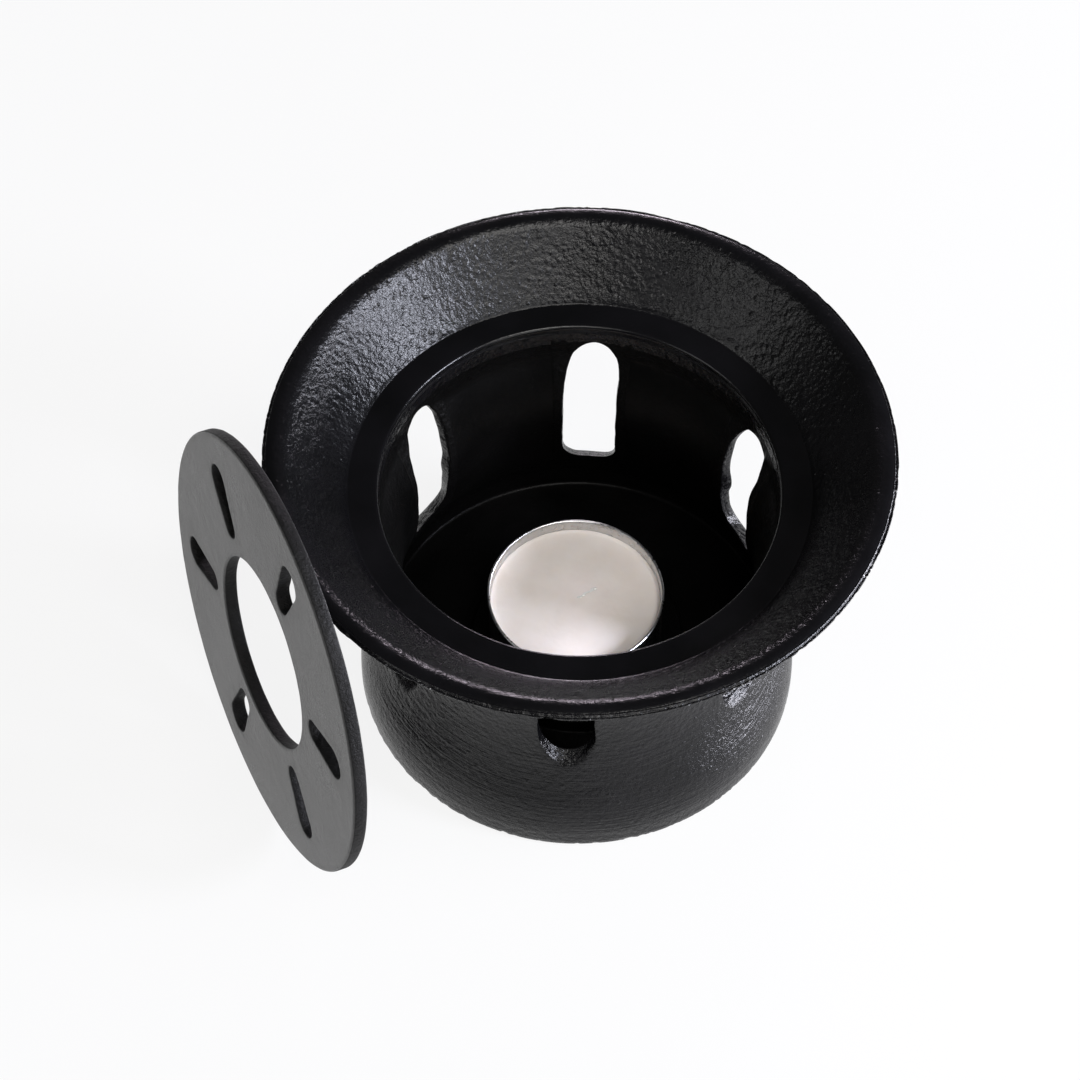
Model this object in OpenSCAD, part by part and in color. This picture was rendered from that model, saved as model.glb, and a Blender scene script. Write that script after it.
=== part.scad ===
// Teapot warmer: a waisted cast iron stand with a funnel on top and six vents round its wall,
// a loose slotted plate that leans on the lip, and a tealight that stands inside.
// Millimetres. The stand's axis is the Z axis, it stands on z = 0, and the viewer is towards -Y.

/* [Foot and waist] */
// How far the foot stands out past the waist
foot_flare = 7.7; // [6:0.1:10]
// Height of the straight band at the foot
foot_band = 2.5; // [1.5:0.1:5]
// Rounding of the foot's bottom edge
foot_round = 1; // [0.4:0.1:1.4]
// Width of the ring that the stand rests on
foot_ring_w = 6; // [4:0.5:10]
// Depth of the hollow under the floor
hollow_depth = 2.4; // [1:0.1:3]
// Radius of the bulge above the foot
bulge_curve = 28.4; // [20:0.2:40]
// How far the waist lies below the ledge
waist_drop = 27.5; // [24:0.5:32]
// Radius of the hollow curve above the waist
waist_curve = 55; // [50:1:60]
// Radius of the curve from the waist into the funnel
shoulder_curve = 14; // [10:0.5:16]

/* [Chamber] */
// Thickness of the wall at the waist
wall = 2.6; // [2:0.1:3.2]
// How far the chamber draws in from the throat to the waist
neck = 4; // [3:0.1:5]
// How far the chamber widens from the waist to the floor
belly = 8.7; // [7:0.1:9.5]
// Height of the floor inside
floor_z = 6.6; // [5:0.1:9]
// Fillet between the floor and the wall
floor_fillet = 4; // [2:0.5:6]
// Width of the round pad past the tealight
pad_margin = 4; // [1:0.5:9]
// Height of the pad above the floor
pad_h = 3.6; // [1:0.1:5]
// Rounding of the pad's edge
pad_round = 0.8; // [0.3:0.1:1]

/* [Funnel] */
// Height of the ledge that the plate can lie on
seat_z = 65; // [62:0.5:72]
// Room around the plate where it lies on the ledge
seat_clearance = 0.6; // [0.3:0.1:1.5]
// Width of the ledge
ledge_w = 6.3; // [4:0.1:8]
// Height of the straight throat below the ledge
throat_h = 9.6; // [7:0.1:12]
// Rounding of the ledge's inner edge
throat_round = 0.8; // [0.3:0.1:1.5]
// Width of the funnel's slope, from the ledge to the crest
funnel_w = 13.3; // [10:0.1:18]
// Height of the crest above the ledge
funnel_h = 13.3; // [10:0.1:18]
// Rounding of the crest
crest_round = 1; // [0.5:0.1:1.5]
// How far the edge of the lip stands out past the crest
lip_w = 3.3; // [2.5:0.1:5]
// How far the edge of the lip lies below the crest
lip_drop = 1.25; // [0.8:0.05:2]
// Rounding of the lip's edge
lip_round = 0.45; // [0.3:0.05:0.7]
// How far the lip hangs out past the funnel's underside
lip_hang = 2.4; // [1.5:0.1:4]
// Thickness of the funnel's wall
funnel_wall = 3.2; // [2.5:0.1:4]

/* [Vents] */
// Number of vents
vent_n = 6; // [4:1:8]
// Width of a vent
vent_w = 11.3; // [8:0.1:14]
// How far a vent's round top lies below the ledge
vent_drop = 7; // [5:0.1:12]
// Height of a vent's sill above the floor, at the inner face of the wall
vent_sill = 15.6; // [12:0.1:24]
// Fall of the sill towards the outside, degrees
vent_fall = 36; // [25:1:50]
// Rounding of the sill's two corners
vent_round = 2.6; // [1:0.1:4]
// Direction of the first vent, degrees from +X
vent_turn = 27.2; // [0:0.1:60]

/* [Plate] */
// Radius of the plate
plate_r = 46.7; // [40:0.1:54]
// Thickness of the plate
plate_t = 3.1; // [2.5:0.1:5]
// Radius of the hole in the middle
plate_hole_r = 20.3; // [15:0.1:22]
// Rounding of the plate's edges
plate_round = 0.7; // [0.3:0.1:1]
// Number of slots
slot_n = 6; // [4:1:8]
// Width of the plate between the hole and a slot
slot_hub = 4.1; // [3:0.1:6]
// Width of the plate between a slot and the rim
slot_rim = 6.8; // [5:0.1:9]
// Width of a slot's inner end
slot_in_w = 5; // [3:0.1:6]
// Width of a slot's outer end
slot_out_w = 6.9; // [6:0.1:9]
// Direction of the first slot in the plate, degrees from straight down
slot_turn = 45; // [0:1:60]
// Direction that the leaning plate's face looks in, degrees from +X
lean_turn = 206.46; // [180:0.01:240]
// Lean of the plate from upright, degrees
lean_tilt = 6.9; // [4:0.1:20]
// Sideways shift of the plate from the line through the stand's axis
lean_shift = -1.3; // [-4:0.1:4]
// Room between the plate and the lip that it leans on
lean_gap = 0.05; // [0.02:0.01:0.3]

/* [Tealight] */
// Radius of the cup
cup_r = 19; // [18:0.1:19.5]
// Height of the cup
cup_h = 15.8; // [12:0.1:20]
// Thickness of the cup's wall
cup_wall = 0.3; // [0.2:0.05:0.6]
// Rounding of the cup's bottom edge
cup_round = 1.2; // [0.8:0.1:2]
// Depth of the wax below the cup's rim
wax_drop = 3; // [1:0.1:5]
// Radius of the wick
wick_r = 0.7; // [0.5:0.1:1]
// Radius of the wick's bend
wick_bend = 1.2; // [1.1:0.1:2]
// Length of the wick that lies on the wax, past its bend
wick_lie = 4.2; // [2:0.1:8]
// Height of the lying wick's centre line above the wax
wick_rise = 0.2; // [0:0.1:0.4]
// Direction in which the wick lies, degrees from +X
wick_turn = 36; // [0:1:360]
// Sideways place of the tealight on its pad
candle_x = -0.4; // [-1:0.1:1]

/* [Hidden] */
$fn = 96;

// Radii of the stand, from the plate inwards and outwards
seat_r = plate_r + seat_clearance;
throat_r = seat_r - ledge_w;
chamber_r = throat_r - neck;
waist_r = chamber_r + wall;
foot_r = waist_r + foot_flare;
crest_r = seat_r + funnel_w;
lip_r = crest_r + lip_w;
pad_r = cup_r + pad_margin;
// Heights of the stand, from the ledge down and up
stand_h = seat_z + funnel_h;
throat_z = seat_z - throat_h;
waist_z = seat_z - waist_drop;
vent_top = seat_z - vent_drop;
sill_z = floor_z + vent_sill;
pad_z = floor_z + pad_h;
// Ends of a slot, from the plate's centre
slot_start = plate_hole_r + slot_hub;
slot_end = plate_r - slot_rim;
candle_place = [candle_x, 0, pad_z];
wax_z = cup_h - wax_drop;
// Past every outline, for cuts that leave the stand
clear_of_all = 2 * lip_r;
// Overlap of two curves that touch
trace = 0.002;
// How far a cut, or an arc's piece, runs past the edge that it makes
past = 2;

function unit(v) = v / norm(v);
function polar(angle) = [cos(angle), sin(angle)];
// Unit normal on the left side of the line that touches two circles, going from a to b
function touch_normal(a, a_r, b, b_r) =
    polar(atan2(b.y - a.y, b.x - a.x) + acos((a_r - b_r) / norm(b - a)));
// Centre and end of an arc of radius r that rounds the corner p between edges to a and b
function corner_half(p, a, b) = acos(unit(a - p) * unit(b - p)) / 2;
function corner_centre(p, a, b, r) =
    p + unit(unit(a - p) + unit(b - p)) * r / sin(corner_half(p, a, b));
// Radius of an arc that starts upright and moves sideways by across while it rises by up
function rise_curve(across, up) = (across * across + up * up) / (2 * across);
function corner_end(p, a, b, r) = p + unit(a - p) * r / tan(corner_half(p, a, b));

// What a rounding takes from a sharp corner, or a fillet adds in a hollow one
module corner(p, a, b, r) {
    difference() {
        polygon([p, corner_end(p, a, b, r), corner_end(p, b, a, r)]);
        translate(corner_centre(p, a, b, r)) circle(r);
    }
}

// The part of a disc that lies between two radii and two heights
module piece(centre, disc_r, near, far, low, high) {
    intersection() {
        translate(centre) circle(disc_r);
        translate([near, low]) square([far - near, high - low]);
    }
}

// Outer curves of the stand, as [radius, height]. The curve below the waist touches the bulge.
waist_centre = [waist_r + waist_curve, waist_z];
hollow_curve = rise_curve(foot_flare, waist_z - foot_band) - bulge_curve;
hollow_centre = [waist_r + hollow_curve, waist_z];
bulge_centre = [foot_r - bulge_curve, foot_band];
bulge_end = bulge_centre + unit(hollow_centre - bulge_centre) * bulge_curve;

// Crest, lip and funnel
crest_centre = [crest_r, stand_h - crest_round];
lip_centre = [lip_r - lip_round, stand_h - lip_drop];
seat_corner = [seat_r, seat_z];
cone_normal = touch_normal(seat_corner, 0, crest_centre, crest_round);
cone_end = crest_centre + cone_normal * crest_round;
land_normal = touch_normal(crest_centre, crest_round, lip_centre, lip_round);
land_start = crest_centre + land_normal * crest_round;
land_end = lip_centre + land_normal * lip_round;
// The underside runs along the cone, one wall thickness below it
under_normal = -cone_normal;
under_reach = under_normal * seat_corner + funnel_wall;
under_end_r = lip_r - lip_hang;
under_end = [under_end_r, (under_reach - under_normal.x * under_end_r) / under_normal.y];
lip_normal = touch_normal(lip_centre, lip_round, under_end, 0);
lip_start = lip_centre + lip_normal * lip_round;
// The shoulder's curve touches the underside and the waist's curve
shoulder_span = waist_curve - shoulder_curve;
shoulder_angle = atan2(under_normal.y, under_normal.x) - acos(
    (shoulder_curve + under_reach - under_normal * waist_centre) / shoulder_span);
shoulder_centre = waist_centre + shoulder_span * polar(shoulder_angle);
shoulder_start = waist_centre + waist_curve * polar(shoulder_angle);
shoulder_end = shoulder_centre - shoulder_curve * under_normal;

// Inner curves of the stand
low_curve = rise_curve(belly, waist_z - floor_z);
high_curve = rise_curve(neck, throat_z - waist_z);
low_centre = [chamber_r + low_curve, waist_z];
high_centre = [chamber_r + high_curve, waist_z];
fillet_z = floor_z + floor_fillet;
fillet_span = low_curve + floor_fillet;
fillet_drop = waist_z - fillet_z;
fillet_centre = [
    low_centre.x - sqrt(fillet_span * fillet_span - fillet_drop * fillet_drop),
    fillet_z
];
fillet_end = low_centre + unit(fillet_centre - low_centre) * low_curve;
ledge = [throat_r, seat_z];
throat_low = [throat_r, throat_z - past];

// The wall's side view. Curves that touch overlap by a trace, so that each ends in a clean edge.
module stand_outline() {
    difference() {
        union() {
            polygon([
                [0, 0], [foot_r, 0], [foot_r, foot_band], bulge_end, shoulder_start,
                shoulder_end, under_end, lip_start, land_end, land_start, cone_end,
                seat_corner, ledge, throat_low, [chamber_r, waist_z], fillet_end,
                [fillet_centre.x, floor_z], [0, floor_z]
            ]);
            piece(bulge_centre, bulge_curve + trace, bulge_end.x, clear_of_all, 0, bulge_end.y);
            piece(low_centre, low_curve, 0, fillet_end.x, fillet_end.y, waist_z);
            piece(high_centre, high_curve, 0, throat_r + past, waist_z, throat_z + past);
            translate(lip_centre) circle(lip_round + trace);
            translate(crest_centre) circle(crest_round + trace);
            pad_outline();
        }
        piece(hollow_centre, hollow_curve + trace, 0, clear_of_all,
            bulge_end.y - past, waist_z);
        piece(waist_centre, waist_curve + trace, 0, clear_of_all, waist_z, shoulder_start.y);
        piece(shoulder_centre, shoulder_curve + 2 * trace, 0, clear_of_all,
            shoulder_start.y - past, shoulder_end.y + past);
        translate(fillet_centre) circle(floor_fillet + trace);
        corner(ledge, seat_corner, throat_low, throat_round);
        corner([foot_r, 0], [0, 0], [foot_r, foot_band], foot_round);
        square([foot_r - foot_ring_w, hollow_depth]);
    }
}

module pad_outline() {
    difference() {
        translate([0, floor_z]) square([pad_r, pad_h]);
        corner([pad_r, pad_z], [0, pad_z], [pad_r, floor_z], pad_round);
    }
}

// One vent, along +X: upright above, and sloping down and out at the sill
module vent_cut() {
    half = vent_w / 2;
    sill_r = low_centre.x - sqrt(low_curve * low_curve - pow(waist_z - sill_z, 2));
    step_z = sill_z + vent_round;
    rotate([90, 0, 90]) linear_extrude(clear_of_all) {
        translate([-half, step_z]) square([vent_w, vent_top - half - step_z]);
        translate([0, vent_top - half]) circle(half);
    }
    translate([sill_r, 0, sill_z]) rotate([0, vent_fall, 0]) rotate([90, 0, 90])
        translate([0, 0, -waist_r / 2]) linear_extrude(clear_of_all)
            difference() {
                translate([-half, 0]) square(vent_w);
                corner([-half, 0], [half, 0], [-half, vent_w], vent_round);
                corner([half, 0], [-half, 0], [half, vent_w], vent_round);
            }
}

module warmer_body() {
    color([0.13, 0.13, 0.14])
        difference() {
            rotate_extrude() stand_outline();
            for (i = [0 : vent_n - 1])
                rotate([0, 0, vent_turn + i * 360 / vent_n]) vent_cut();
        }
}

// One slot along +X: two round ends, the outer one wider, and straight sides that touch both
module slot_outline() {
    in_r = slot_in_w / 2;
    out_r = slot_out_w / 2;
    in_end = [slot_start + in_r, 0];
    out_end = [slot_end - out_r, 0];
    side = touch_normal(in_end, in_r, out_end, out_r);
    mirrored = [side.x, -side.y];
    translate(in_end) circle(in_r + trace);
    translate(out_end) circle(out_r + trace);
    polygon([
        in_end + side * in_r, out_end + side * out_r,
        out_end + mirrored * out_r, in_end + mirrored * in_r
    ]);
}

// The plate lying flat, its back on z = 0
module flat_plate() {
    in_low = [plate_hole_r, 0];
    in_high = [plate_hole_r, plate_t];
    out_low = [plate_r, 0];
    out_high = [plate_r, plate_t];
    difference() {
        rotate_extrude() difference() {
            polygon([in_low, out_low, out_high, in_high]);
            corner(in_low, in_high, out_low, plate_round);
            corner(in_high, in_low, out_high, plate_round);
            corner(out_low, out_high, in_low, plate_round);
            corner(out_high, out_low, in_high, plate_round);
        }
        for (i = [0 : slot_n - 1])
            rotate([0, 0, slot_turn + i * 360 / slot_n])
                translate([0, 0, -past]) linear_extrude(plate_t + 2 * past) slot_outline();
    }
}

// Where the plate's back lies: its rim stands on z = 0 and its back rests on the lip
lean_reach = cos(lean_tilt) * lip_centre.x + sin(lean_tilt) * lip_centre.y + lip_round + lean_gap;
lean_z = (plate_r - plate_round) * cos(lean_tilt) + plate_round - plate_round * sin(lean_tilt);
lean_r = (lean_reach - sin(lean_tilt) * lean_z) / cos(lean_tilt);

module trivet_plate() {
    color([0.27, 0.27, 0.28])
        rotate([0, 0, lean_turn]) translate([lean_r, lean_shift, lean_z])
            rotate([0, 90 - lean_tilt, 0]) flat_plate();
}

// A round block with a rounded bottom edge, as a side view
module cup_outline(r, h, round_r) {
    difference() {
        square([r, h]);
        corner([r, 0], [0, 0], [r, h], round_r);
    }
}

module candle_cup() {
    color([0.80, 0.81, 0.82])
        translate(candle_place) rotate_extrude() difference() {
            cup_outline(cup_r, cup_h, cup_round);
            translate([0, cup_wall])
                cup_outline(cup_r - cup_wall, cup_h, cup_round - cup_wall);
        }
}

module candle_wax() {
    color([0.93, 0.93, 0.91])
        translate(candle_place) difference() {
            translate([0, 0, cup_wall]) rotate_extrude()
                cup_outline(cup_r - cup_wall, wax_z - cup_wall, cup_round - cup_wall);
            wick_shape();
        }
}

// Upright in the wax, then bent over to lie on it
module wick_shape() {
    foot_z = 2 * cup_wall;
    bend_z = wax_z + wick_rise - wick_bend;
    rotate([0, 0, wick_turn]) {
        translate([0, 0, foot_z]) cylinder(r = wick_r, h = bend_z - foot_z);
        translate([wick_bend, 0, bend_z]) rotate([90, 0, 180]) rotate_extrude(angle = 90)
            translate([wick_bend, 0]) circle(wick_r, $fn = 32);
        translate([wick_bend, 0, bend_z + wick_bend]) rotate([0, 90, 0])
            cylinder(r = wick_r, h = wick_lie);
    }
}

module candle_wick() {
    color([0.86, 0.86, 0.84]) translate(candle_place) wick_shape();
}

warmer_body();
trivet_plate();
candle_cup();
candle_wax();
candle_wick();
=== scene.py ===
"""Looks of the teapot warmer: a cast iron stand, its loose slotted plate and a tealight.

Shapes are worked out in millimetres, in the part's own frame, and turned to metres at the end.
"""

import math

import bmesh
import bpy
import numpy as np
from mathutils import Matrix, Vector, noise


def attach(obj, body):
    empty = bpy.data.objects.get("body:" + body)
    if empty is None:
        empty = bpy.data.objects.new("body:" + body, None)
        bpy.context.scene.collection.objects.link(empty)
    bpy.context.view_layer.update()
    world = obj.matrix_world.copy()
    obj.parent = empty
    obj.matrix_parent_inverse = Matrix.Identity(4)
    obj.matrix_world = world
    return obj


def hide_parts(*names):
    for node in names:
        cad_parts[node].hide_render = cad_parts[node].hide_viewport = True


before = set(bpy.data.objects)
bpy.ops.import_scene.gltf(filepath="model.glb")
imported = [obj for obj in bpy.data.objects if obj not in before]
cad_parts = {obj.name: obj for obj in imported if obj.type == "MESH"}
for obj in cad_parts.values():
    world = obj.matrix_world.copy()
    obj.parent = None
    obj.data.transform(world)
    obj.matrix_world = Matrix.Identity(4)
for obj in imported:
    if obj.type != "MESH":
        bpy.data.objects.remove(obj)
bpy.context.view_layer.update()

MM = 0.001

# Camera, as it was recovered from the photograph
CAMERA_PLACE = (0.0, -0.38254, 0.59231)
CAMERA_DOWN = 55.04
CAMERA_TURN = 1.203
CAMERA_LENS = 106.67
SENSOR = 36.0

# Stand: foot, waist and shoulder
FOOT_R = 47.3
FOOT_BAND = 2.5
FOOT_ROUND = 1.0
HOLLOW_R = 41.3
HOLLOW_Z = 2.4
WAIST_R = 39.6
WAIST_Z = 37.5
WAIST_CURVE = 55.0
SHOULDER_CURVE = 14.0

# Stand: chamber
CHAMBER_R = 37.0
CHAMBER_LOW_R = 43.05
CHAMBER_TOP = 60.0
CHAMBER_MARGIN = 0.3
LOW_CURVE = 59.22
HIGH_CURVE = 42.05
FLOOR_Z = 6.6
FLOOR_FILLET = 4.0
FLOOR_CORNER = 0.8
PAD_R = 23.0
PAD_Z = 10.2
PAD_ROUND = 0.8

# Stand: funnel and lip
SEAT_Z = 65.0
SEAT_R = 47.3
THROAT_R = 41.0
THROAT_ROUND = 0.8
CREST_R = 60.6
STAND_H = 78.3
CREST_ROUND = 1.0
CREST_SOFT = 4.0
LIP_R = 63.9
LIP_HANG = 2.4
FUNNEL_WALL = 3.2

# Stand: vents
VENT_N = 6
VENT_W = 11.3
VENT_SILL = 22.2
VENT_FALL = 36.0
VENT_TURN = 27.2
VENT_EDGE = 0.55
VENT_RAGGED = 0.16
VENT_RAGGED_SIZE = 2.6

# Each vent as cast: its top, how far the top sits off the middle, the arch's rise on both sides,
# the sill's corners on both sides and the sill's height inside
VENT_SHAPES = (
    (57.3, -0.9, (9.0, 8.0), (2.6, 3.2), VENT_SILL),
    (59.5, -0.9, (13.0, 8.3), (3.9, 2.6), VENT_SILL),
    (58.1, -0.9, (7.5, 6.0), (2.6, 2.8), VENT_SILL),
    (58.3, 0.4, (8.0, 9.0), (2.6, 3.0), 23.0),
    (58.0, 0.3, (7.5, 8.5), (4.9, 5.3), 25.3),
    (58.4, -0.3, (9.0, 7.5), (2.6, 3.4), 24.0),
)

# Where a vent's edge is uneven: mouth (in, out or both), side, height, reach and push
UNEVEN = (
    (("out", 1, 36.0, 3.4, -1.3), ("out", 1, 25.5, 3.0, 0.4), ("in", -1, 45.5, 3.0, -0.4),
     ("in", -1, 36.0, 3.4, 0.8), ("in", 1, 37.0, 4.0, -0.35)),
    (("both", -1, 51.0, 4.0, 0.45), ("both", 1, 50.0, 5.0, -0.25)),
    (("out", -1, 35.9, 2.4, -0.6), ("out", -1, 24.3, 4.0, 0.9), ("in", -1, 30.0, 7.0, -0.8),
     ("in", -1, 49.0, 3.0, 0.4), ("in", 1, 36.0, 5.0, 0.45), ("in", 1, 54.8, 4.2, -1.4)),
    (("out", 1, 40.0, 4.0, -0.5), ("in", -1, 33.0, 5.0, 0.4)),
    (("out", 1, 30.0, 2.0, 0.5), ("out", -1, 25.0, 3.5, -0.6)),
    (("out", -1, 33.0, 3.0, 0.5), ("in", 1, 44.0, 4.0, -0.4)),
)

# The part of the wall round a vent whose grid is fitted to it
PATCH_LOW_OUT = 15.6
PATCH_LOW_IN = 18.0
PATCH_HIGH = 61.0

# Plate
PLATE_R = 46.7
PLATE_T = 3.1
HOLE_R = 20.3
PLATE_ROUND = 0.7
SLOT_N = 6
SLOT_START = 24.4
SLOT_END = 39.9
SLOT_IN_W = 5.0
SLOT_OUT_W = 6.9
SLOT_TURN = 45.0
SLOT_EDGE = 0.45
SLOT_RAGGED = 0.12
SLOT_RAGGED_SIZE = 1.8
PATCH_NEAR = 22.4
PATCH_FAR = 42.2
LEAN_TURN = 206.46
LEAN_TILT = 6.9
LEAN_SHIFT = -1.3
LEAN_GAP = 0.05
LIP_EDGE = (63.45, 77.05)
LIP_EDGE_R = 0.45

# Tealight
CANDLE_X = -0.4
CUP_R = 19.0
CUP_H = 15.8
CUP_WALL = 0.3
CUP_BEAD = 0.35
CUP_ROUND = 1.2
CUP_DENT = 0.05
WAX_DROP = 3.0
WAX_GAP = 0.05
WAX_SAG = 0.25
WICK_R = 0.7
WICK_THIN = 0.25
WICK_STRAND = 0.08
WICK_BEND = 1.2
WICK_LIE = 4.2
WICK_RISE = 0.2
WICK_TURN = 36.0
WICK_SINK = 0.42
WICK_SIDES = 28

# Unevenness of the castings
CAST_WIDE = 0.05
CAST_FINE = 0.03
CHIP_DEPTH = 0.55
PLATE_FINE = 0.03

# Mesh density
COLUMNS = 480
CUP_COLUMNS = 180
PATCH_HALF = 16
PATCH_LOOPS = 5
VENT_ROWS = 30
VENT_LOOPS = 6
SLOT_ROWS = 20
SLOT_LOOPS = 4
SILL_POINTS = 6
CORNER_POINTS = 9
ARCH_POINTS = 17
SLOT_NEAR_POINTS = 13
SLOT_FAR_POINTS = 17

# Background
FLOOR_HALF = 12.0


def polar(radius, degrees):
    angle = math.radians(degrees)
    return np.array([radius * math.cos(angle), radius * math.sin(angle)])


def unit(v):
    return v / np.linalg.norm(v)


def angle_of(v):
    return math.degrees(math.atan2(v[1], v[0]))


def arc(centre, radius, start, end, count):
    """Points along an arc, both ends included."""
    return [np.asarray(centre) + polar(radius, a) for a in np.linspace(start, end, count)]


def touch_normal(a, a_r, b, b_r):
    """Unit normal on the left of the line that touches two circles, going from a to b."""
    lean = math.degrees(math.acos((a_r - b_r) / np.linalg.norm(b - a)))
    return polar(1, angle_of(b - a) + lean)


def line(a, b, count, ends=(True, True)):
    """Points from a to b; either end can be left out."""
    points = list(np.linspace(a, b, count))
    if not ends[0]:
        points = points[1:]
    if not ends[1]:
        points = points[:-1]
    return points


def bumps(points, size, seed):
    """Smooth noise from about -1 to 1 for an array of points, with bumps size millimetres wide."""
    shift = Vector((seed, -seed * 1.7, seed * 0.6))
    return np.array([noise.noise(Vector(p) / size + shift) for p in points])


class Skin:
    """Points, faces and per-point values of one closed surface, gathered piece by piece."""

    def __init__(self):
        self.points = []
        self.values = []
        self.faces = []

    def add(self, points, values):
        first = len(self.points)
        self.points.extend(points)
        self.values.extend(values)
        return list(range(first, len(self.points)))

    def bridge(self, loop, next_loop):
        """Quads between two closed loops of the same length."""
        count = len(loop)
        for i in range(count):
            j = (i + 1) % count
            self.faces.append((loop[i], loop[j], next_loop[j], next_loop[i]))

    def cap(self, loop, point, value):
        centre = self.add([point], [value])[0]
        for i in range(len(loop)):
            self.faces.append((loop[i], loop[(i + 1) % len(loop)], centre))

    def build(self, name, value_name, material, shape=None, marks=None):
        points = np.array(self.points)
        values = np.array(self.values, dtype=np.float32)
        mesh = bpy.data.meshes.new(name)
        mesh.from_pydata((points * MM).tolist(), [], self.faces)
        layers = {value_name: values}
        for key, mark in (marks or {}).items():
            layers[key] = mark(points).astype(np.float32)
        for key, numbers in layers.items():
            mesh.attributes.new(key, "FLOAT", "POINT").data.foreach_set("value", numbers)
        work = bmesh.new()
        work.from_mesh(mesh)
        bmesh.ops.recalc_face_normals(work, faces=work.faces)
        work.to_mesh(mesh)
        work.free()
        if shape is not None:
            normals = np.empty(len(points) * 3, dtype=np.float32)
            mesh.vertex_normals.foreach_get("vector", normals)
            shaped = shape(points, normals.reshape(-1, 3), values)
            mesh.vertices.foreach_set("co", (shaped * MM).astype(np.float32).ravel())
        mesh.polygons.foreach_set("use_smooth", [True] * len(mesh.polygons))
        mesh.materials.append(material)
        mesh.update()
        obj = bpy.data.objects.new(name, mesh)
        bpy.context.scene.collection.objects.link(obj)
        return obj


def revolved(skin, rows, turn, columns, skipped=()):
    """A grid of points, one ring for each (radius, height, value). Cells in skipped stay open."""
    rings = []
    angles = np.radians(turn + np.arange(columns) * 360 / columns)
    for radius, height, value in rows:
        x = radius * np.cos(angles)
        y = radius * np.sin(angles)
        ring = np.stack([x, y, np.full(columns, height)], axis=1)
        rings.append(skin.add(list(ring), [value] * columns))
    for i in range(len(rings) - 1):
        for j in range(columns):
            if (i, j) not in skipped:
                k = (j + 1) % columns
                skin.faces.append((rings[i][j], rings[i][k], rings[i + 1][k], rings[i + 1][j]))
    return rings


def patch_steps(rows_up, half):
    """(row, column) round a patch, from its lower middle and then counterclockwise."""
    steps = [(rows_up[0], j) for j in range(0, half)]
    steps += [(i, half) for i in rows_up[:-1]]
    steps += [(rows_up[-1], j) for j in range(half, -half, -1)]
    steps += [(i, -half) for i in rows_up[:0:-1]]
    steps += [(rows_up[0], j) for j in range(-half, 0)]
    return steps


def patch_cells(rows_up, middle, half, columns):
    low = min(rows_up)
    return {
        (low + i, (middle + j) % columns)
        for i in range(len(rows_up) - 1)
        for j in range(-half, half)
    }


def matched(outline, keys, half, rows):
    """Points of a closed outline that go with a patch's border: key points meet its corners."""
    closed = np.vstack([outline, outline[:1]])
    length = np.concatenate([[0], np.cumsum(np.linalg.norm(np.diff(closed, axis=0), axis=1))])
    places = [length[k] for k in keys] + [length[-1]]
    border = np.cumsum([0, half, rows, half, half, rows, half])
    along = np.interp(np.arange(border[-1]), border, places)
    return np.stack([np.interp(along, length, closed[:, i]) for i in (0, 1)], axis=1)


def outward(loop):
    """Unit normals of a closed counterclockwise loop, pointing out of it."""
    step = np.roll(loop, -1, axis=0) - np.roll(loop, 1, axis=0)
    normal = np.stack([step[:, 1], -step[:, 0]], axis=1)
    return normal / np.linalg.norm(normal, axis=1)[:, None]


def opening(skin, borders, outlines, maps, edge, tunnel, values):
    """Fills two facing patches round a hole, rounds its two mouths and joins them by a tunnel."""
    sharp = [maps[side](outlines[side]) for side in (0, 1)]
    through = sharp[1] - sharp[0]
    through /= np.linalg.norm(through, axis=1)[:, None]
    ends = []
    for side, inward in ((0, through), (1, -through)):
        ids, flat = borders[side]
        start = outlines[side] + outward(outlines[side]) * edge
        last = ids
        for k in range(1, PATCH_LOOPS + 1):
            share = k / PATCH_LOOPS
            points = maps[side](flat * (1 - share) + start * share)
            value = values[0] * (1 - share) + values[1] * share
            loop = skin.add(list(points), [value] * len(ids))
            skin.bridge(last, loop)
            last = loop
        lean = maps[side](start) - sharp[side]
        for degrees in (22.5, 45, 67.5, 90):
            turn = math.radians(degrees)
            points = sharp[side] + lean * (1 - math.sin(turn))
            points = points + inward * edge * (1 - math.cos(turn))
            loop = skin.add(list(points), [values[1]] * len(ids))
            skin.bridge(last, loop)
            last = loop
        ends.append((last, points))
    last = ends[0][0]
    for k in range(1, tunnel):
        share = k / tunnel
        points = ends[0][1] * (1 - share) + ends[1][1] * share
        loop = skin.add(list(points), [values[2]] * len(last))
        skin.bridge(last, loop)
        last = loop
    skin.bridge(last, ends[1][0])


# Stand's outline, as in the source of the part
waist_centre = np.array([WAIST_R + WAIST_CURVE, WAIST_Z])
bulge_in = waist_centre[0] - FOOT_R
bulge_up = WAIST_Z - FOOT_BAND
bulge_r = (bulge_in ** 2 + bulge_up ** 2 - WAIST_CURVE ** 2) / (2 * (WAIST_CURVE - bulge_in))
bulge_centre = np.array([FOOT_R - bulge_r, FOOT_BAND])
bulge_end = bulge_centre + unit(waist_centre - bulge_centre) * bulge_r
crest_centre = np.array([CREST_R, STAND_H - CREST_ROUND])
lip_centre = np.array(LIP_EDGE)
seat_corner = np.array([SEAT_R, SEAT_Z])
cone_normal = touch_normal(seat_corner, 0, crest_centre, CREST_ROUND)
land_normal = touch_normal(crest_centre, CREST_ROUND, lip_centre, LIP_EDGE_R)
crest_middle = unit(cone_normal + land_normal)
crest_inset = (CREST_SOFT - CREST_ROUND) / float(crest_middle @ cone_normal)
crest_centre = crest_centre - crest_middle * crest_inset
cone_end = crest_centre + cone_normal * CREST_SOFT
land_start = crest_centre + land_normal * CREST_SOFT
under_normal = -cone_normal
under_reach = under_normal @ seat_corner + FUNNEL_WALL
under_end_r = LIP_R - LIP_HANG
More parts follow.
